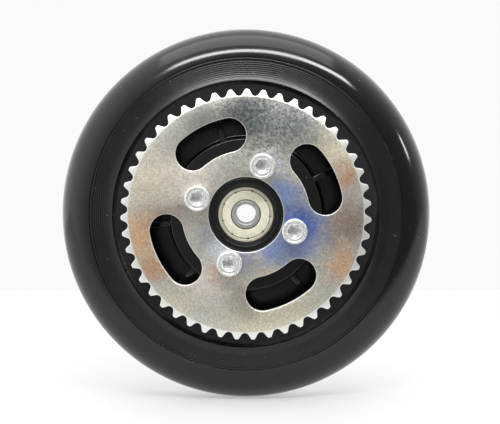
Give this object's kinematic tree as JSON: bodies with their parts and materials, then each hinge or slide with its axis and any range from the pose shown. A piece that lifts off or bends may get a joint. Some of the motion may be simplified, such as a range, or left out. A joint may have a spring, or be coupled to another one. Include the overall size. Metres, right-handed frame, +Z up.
{
  "type": "scooter drive wheel with sprocket",
  "caption": "Solid-tyre scooter wheel with a bolted chain sprocket and shielded ball bearings on a hollow axle line.",
  "frame": {"origin": "on the axle line, at the middle of the tyre's width", "axes": "+Y along the axle line away from the sprocket, +Z up, +X to the right when the sprocket is faced"},
  "size_m": [0.15, 0.051, 0.15],
  "materials": {
    "tyre": "very glossy solid black polyurethane, cast with a round section",
    "hub": "black glass-filled nylon, satin, with fine turned grooves on the ring face",
    "sprocket": "zinc-plated steel plate, satin, cloudy plating with faint warm and blue tints",
    "fastener": "bright zinc-plated steel",
    "nylon_insert": "off-white nylon",
    "bearing_steel": "ground bearing steel, fine circular grinding marks",
    "shield": "pressed sheet steel, satin, slightly yellow",
    "ball": "polished bearing steel"
  },
  "bodies": {
    "axle_core": {"front_bearing_inner_ring": "bearing_steel", "back_bearing_inner_ring": "bearing_steel", "bearing_spacer": "bearing_steel"},
    "wheel": {"tyre": "tyre", "hub": "hub", "sprocket": "sprocket", "sprocket_screw_1": "fastener", "sprocket_screw_2": "fastener", "sprocket_screw_3": "fastener", "sprocket_screw_4": "fastener", "washer_1": "fastener", "washer_2": "fastener", "washer_3": "fastener", "washer_4": "fastener", "lock_nut_1": "fastener", "lock_nut_2": "fastener", "lock_nut_3": "fastener", "lock_nut_4": "fastener", "nut_insert_1": "nylon_insert", "nut_insert_2": "nylon_insert", "nut_insert_3": "nylon_insert", "nut_insert_4": "nylon_insert", "front_bearing_outer_ring": "bearing_steel", "front_bearing_outer_shield": "shield", "front_bearing_inner_shield": "shield", "back_bearing_outer_ring": "bearing_steel", "back_bearing_outer_shield": "shield", "back_bearing_inner_shield": "shield"},
    "front_cage": {"front_bearing_cage": "bearing_steel", "front_bearing_ball_1": "ball", "front_bearing_ball_2": "ball", "front_bearing_ball_3": "ball", "front_bearing_ball_4": "ball", "front_bearing_ball_5": "ball", "front_bearing_ball_6": "ball", "front_bearing_ball_7": "ball"},
    "back_cage": {"back_bearing_cage": "bearing_steel", "back_bearing_ball_1": "ball", "back_bearing_ball_2": "ball", "back_bearing_ball_3": "ball", "back_bearing_ball_4": "ball", "back_bearing_ball_5": "ball", "back_bearing_ball_6": "ball", "back_bearing_ball_7": "ball"}
  },
  "joints": [
    {"name": "wheel_spin", "type": "hinge", "parent": "axle_core", "child": "wheel", "pos_m": [0, 0, 0], "axis": [0, 1, 0], "continuous": true},
    {"name": "front_cage_spin", "type": "hinge", "parent": "axle_core", "child": "front_cage", "pos_m": [0, 0, 0], "axis": [0, 1, 0], "continuous": true},
    {"name": "back_cage_spin", "type": "hinge", "parent": "axle_core", "child": "back_cage", "pos_m": [0, 0, 0], "axis": [0, 1, 0], "continuous": true}
  ],
  "couplings": [
    {"joint": "front_cage_spin", "follows": "wheel_spin", "ratio": 0.6323},
    {"joint": "back_cage_spin", "follows": "wheel_spin", "ratio": 0.6323}
  ]
}
